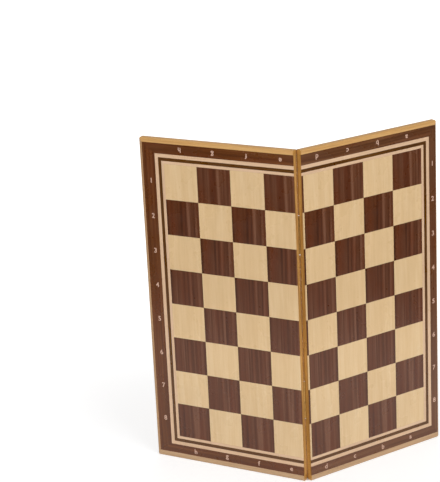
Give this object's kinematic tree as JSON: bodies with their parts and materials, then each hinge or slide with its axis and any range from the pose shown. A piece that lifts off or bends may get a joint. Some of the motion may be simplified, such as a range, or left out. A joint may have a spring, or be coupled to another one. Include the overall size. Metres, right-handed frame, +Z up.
{
  "type": "folding chess board",
  "caption": "Thin inlaid wooden chess board in two leaves, hinged on the underside so that it lies flat for play, stands half folded or closes with its undersides together.",
  "frame": {"origin": "on the table, under the middle of the box of the half-folded standing board", "axes": "+Z up along the fold, -Y the way the fold and both playing faces point, +X towards the right leaf as seen from the front"},
  "size_m": [0.3432, 0.1072, 0.4],
  "materials": {
    "panel_core": "sawn, lightly sealed",
    "backing": "satin lacquer",
    "lipping": "satin lacquer",
    "pale_veneer": "satin lacquer",
    "dark_veneer": "satin lacquer",
    "pale_line": "satin lacquer",
    "dark_line": "satin lacquer",
    "band_veneer": "satin lacquer",
    "felt": "wool felt",
    "hinge_brass": "brushed",
    "pin_brass": "drawn",
    "screw_brass": "turned"
  },
  "bodies": {
    "left_leaf": {"left_core": "panel_core", "left_backing_veneer": "backing", "left_top_lipping": "lipping", "left_outer_lipping": "lipping", "left_bottom_lipping": "lipping", "left_dark_squares": "dark_veneer", "left_pale_squares": "pale_veneer", "left_inner_stringing": "pale_line", "left_dark_stringing": "dark_line", "left_outer_stringing": "pale_line", "left_top_band": "band_veneer", "left_outer_band": "band_veneer", "left_bottom_band": "band_veneer", "left_felt_pads": "felt", "left_upper_hinge_plate": "hinge_brass", "left_upper_hinge_screws": "screw_brass", "left_lower_hinge_plate": "hinge_brass", "left_lower_hinge_screws": "screw_brass", "upper_hinge_pin": "pin_brass", "lower_hinge_pin": "pin_brass"},
    "right_leaf": {"right_core": "panel_core", "right_backing_veneer": "backing", "right_top_lipping": "lipping", "right_outer_lipping": "lipping", "right_bottom_lipping": "lipping", "right_dark_squares": "dark_veneer", "right_pale_squares": "pale_veneer", "right_inner_stringing": "pale_line", "right_dark_stringing": "dark_line", "right_outer_stringing": "pale_line", "right_top_band": "band_veneer", "right_outer_band": "band_veneer", "right_bottom_band": "band_veneer", "right_felt_pads": "felt", "right_upper_hinge_plate": "hinge_brass", "right_upper_hinge_screws": "screw_brass", "right_lower_hinge_plate": "hinge_brass", "right_lower_hinge_screws": "screw_brass"}
  },
  "joints": [
    {"name": "fold", "type": "hinge", "parent": "left_leaf", "child": "right_leaf", "pos_m": [0.00103, -0.04642, 0.2], "axis": [0, 0, 1], "range_deg": [-61.6, 116.4]}
  ]
}
